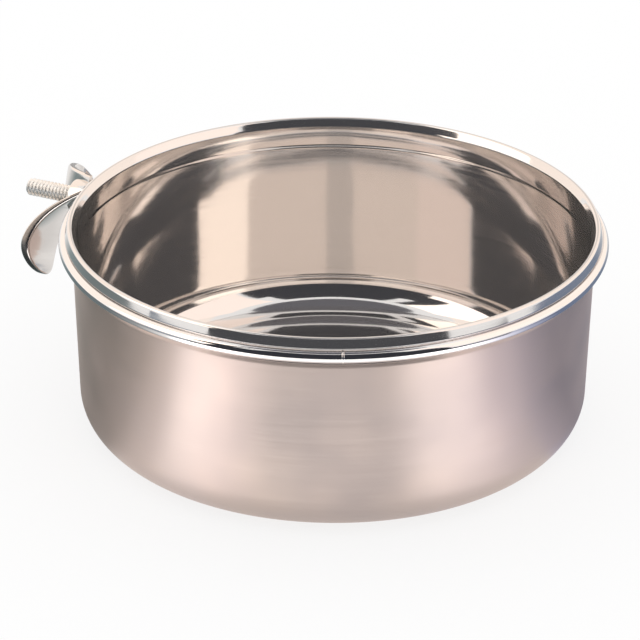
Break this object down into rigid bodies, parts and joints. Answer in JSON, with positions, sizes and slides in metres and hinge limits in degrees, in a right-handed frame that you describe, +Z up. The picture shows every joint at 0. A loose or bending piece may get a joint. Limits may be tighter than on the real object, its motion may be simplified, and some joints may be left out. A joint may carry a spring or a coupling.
{
  "type": "seed cup",
  "caption": "Round steel seed cup with a curled rim, sitting in a wire ring holder that screws to cage bars with a threaded bolt, washer and wing nut.",
  "frame": {"origin": "centre of the bowl's base, on the surface it stands on", "axes": "+Z up along the bowl's axis; the bolt points out to the left and back, 155 degrees from +X seen from above"},
  "size_m": [0.1562, 0.1433, 0.057],
  "materials": {
    "bowl_steel": "brushed outside, polished inside",
    "ring_steel": "polished",
    "bolt_zinc": "bright zinc plate",
    "washer_zinc": "bright zinc plate",
    "nut_zinc": "bright zinc plate"
  },
  "bodies": {
    "holder": {"holder_ring": "ring_steel", "bolt": "bolt_zinc"},
    "bowl": {"bowl": "bowl_steel"},
    "washer": {"washer": "washer_zinc"},
    "wing_nut": {"wing_nut": "nut_zinc"}
  },
  "joints": [
    {"name": "bowl_lift", "type": "slide", "parent": "holder", "child": "bowl", "axis": [0, 0, 1], "range_m": [0, 0.065]},
    {"name": "washer_slide", "type": "slide", "parent": "holder", "child": "washer", "axis": [-0.9063, 0.4226, 0], "range_m": [0, 0.0128]},
    {"name": "nut_turn", "type": "hinge", "parent": "washer", "child": "wing_nut", "pos_m": [-0.06489, 0.03026, 0.04875], "axis": [-0.9063, 0.4226, 0], "range_deg": [0, 4320]}
  ],
  "couplings": [
    {"joint": "washer_slide", "follows": "nut_turn", "m_per_rad": 0.0001687}
  ]
}
